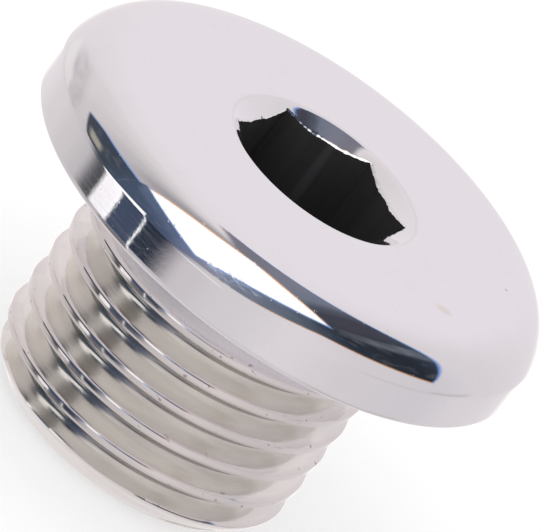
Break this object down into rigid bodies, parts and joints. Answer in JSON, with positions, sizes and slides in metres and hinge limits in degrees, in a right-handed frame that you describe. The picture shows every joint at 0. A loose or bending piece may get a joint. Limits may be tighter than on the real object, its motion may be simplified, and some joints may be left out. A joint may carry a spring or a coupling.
{
  "type": "radiator drain plug",
  "caption": "Flanged screw plug that closes a drain port: thin round head with a rounded rim, countersunk hexagon socket, and a threaded shank with a chamfered end.",
  "frame": {"origin": "centre of the flat shank end, which the plug stands on", "axes": "+Z along the plug's axis from the shank end to the head; +X through a corner of the hexagon socket"},
  "size_m": [0.0228, 0.0228, 0.0145],
  "materials": {
    "chrome_body": "bright polished plating"
  },
  "bodies": {
    "root": {"drain_plug": "chrome_body"}
  },
  "joints": []
}
